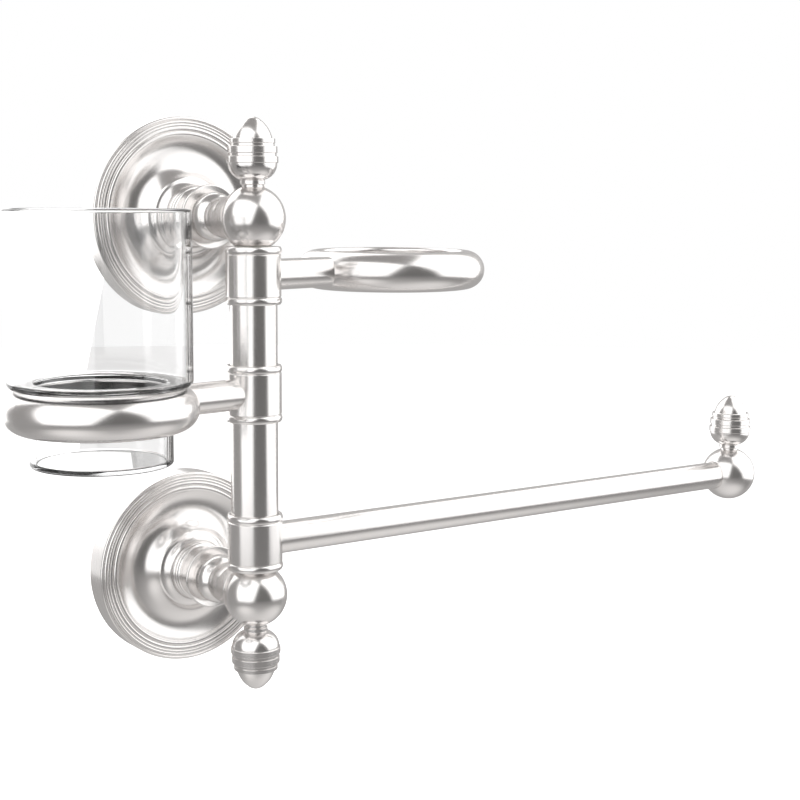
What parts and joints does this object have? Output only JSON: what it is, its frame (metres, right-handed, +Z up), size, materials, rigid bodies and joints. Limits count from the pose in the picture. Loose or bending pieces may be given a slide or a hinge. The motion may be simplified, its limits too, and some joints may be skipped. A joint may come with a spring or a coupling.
{
  "type": "wall-mounted hair dryer holder",
  "caption": "Wall holder for a hair dryer: turned flanges carry an upright post on which a dryer ring, a stepped glass tumbler's ring and a long towel bar swivel.",
  "frame": {"origin": "centre of the lower flange's bracket, on the face of the wall", "axes": "+X along the wall, to the right as seen from the room; +Y into the wall; +Z up"},
  "size_m": [0.3954, 0.1151, 0.2358],
  "materials": {
    "nickel": "polished",
    "steel": "satin",
    "nylon": "matte",
    "glass": "polished"
  },
  "bodies": {
    "post": {"lower_wall_bracket": "steel", "lower_rosette": "nickel", "lower_neck": "nickel", "lower_ball": "nickel", "lower_finial": "nickel", "lower_spacer_tube": "nickel", "upper_wall_bracket": "steel", "upper_rosette": "nickel", "upper_neck": "nickel", "upper_ball": "nickel", "upper_finial": "nickel", "upper_spacer_tube": "nickel", "rosette_set_screws": "steel", "neck_screws": "steel", "post_rod": "steel", "spacer_bushes": "nylon", "end_washers": "nylon"},
    "dryer_swivel": {"dryer_collar": "nickel", "dryer_arm": "nickel", "dryer_ring": "nickel"},
    "tumbler_swivel": {"tumbler_collar": "nickel", "tumbler_arm": "nickel", "tumbler_ring": "nickel"},
    "towel_bar_swivel": {"bar_collar": "nickel", "bar_plug": "steel", "towel_bar": "nickel", "end_ball": "nickel", "end_finial_stud": "steel", "end_finial": "nickel"},
    "tumbler": {"glass_tumbler": "glass"}
  },
  "joints": [
    {"name": "dryer_arm_swivel", "type": "hinge", "parent": "post", "child": "dryer_swivel", "pos_m": [0, -0.0692, 0], "axis": [0, 0, 1], "range_deg": [-71, 7]},
    {"name": "tumbler_arm_swivel", "type": "hinge", "parent": "post", "child": "tumbler_swivel", "pos_m": [0, -0.0692, 0], "axis": [0, 0, 1], "range_deg": [-30, 42]},
    {"name": "towel_bar_swivel", "type": "hinge", "parent": "post", "child": "towel_bar_swivel", "pos_m": [0, -0.0692, 0], "axis": [0, 0, 1], "range_deg": [-191, 11]},
    {"name": "tumbler_lift", "type": "slide", "parent": "tumbler_swivel", "child": "tumbler", "axis": [0, 0, 1], "range_m": [0, 0.06]}
  ]
}
